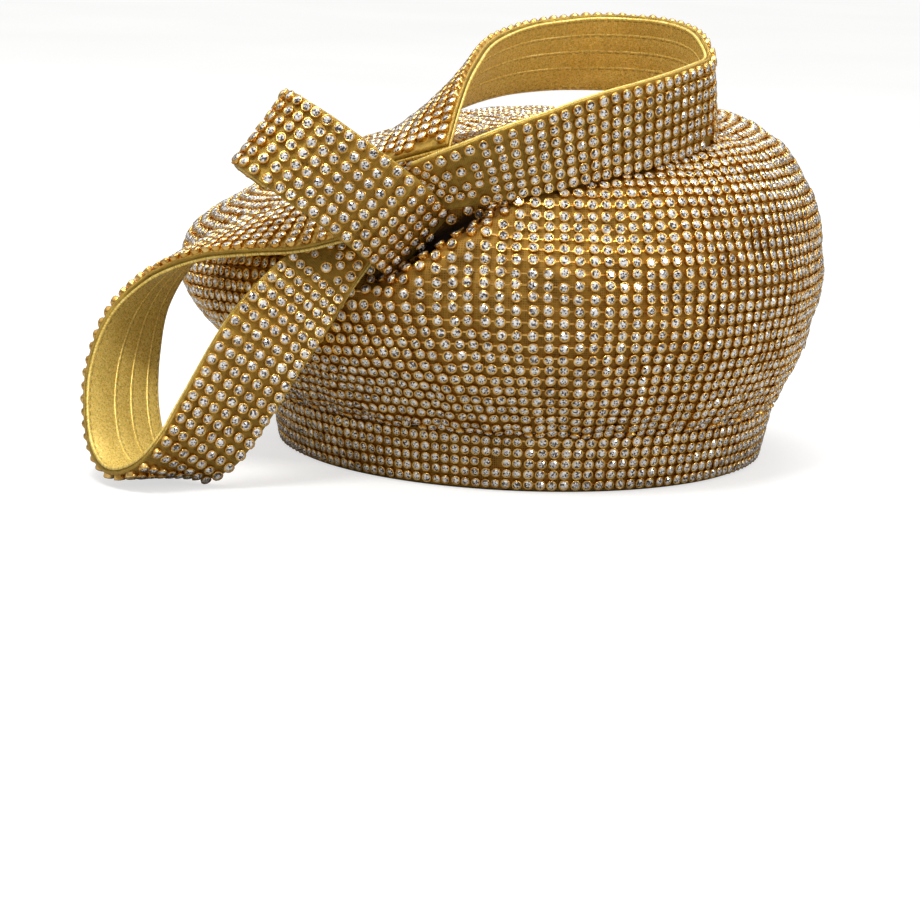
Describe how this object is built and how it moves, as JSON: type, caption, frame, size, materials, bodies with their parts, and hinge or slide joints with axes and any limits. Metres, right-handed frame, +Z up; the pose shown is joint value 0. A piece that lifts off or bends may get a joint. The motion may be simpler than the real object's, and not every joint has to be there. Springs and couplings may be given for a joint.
{
  "type": "church hat",
  "caption": "Puffed church hat on an upright headband, covered in small clear stones in gold cups, with a two-loop band bow at one side of its front.",
  "frame": {"origin": "centre of the head opening, in the plane of the rim that the hat stands on", "axes": "+Z up through the crown, -Y the hat's front, +X the right of someone who faces the hat"},
  "size_m": [0.2592, 0.2624, 0.1613],
  "materials": {
    "crown_stones": "gold cloth covered with clear stones in gold cups",
    "bow_stones": "gold band covered with clear stones in gold cups",
    "bow_lining": "bright gold metallic cloth strips with stitched seams"
  },
  "bodies": {
    "root": {"crown": "crown_stones", "headband": "crown_stones", "lower_loop": "bow_stones", "lower_loop_lining": "bow_lining", "upper_loop": "bow_stones", "upper_loop_lining": "bow_lining", "knot": "bow_stones"}
  },
  "joints": []
}
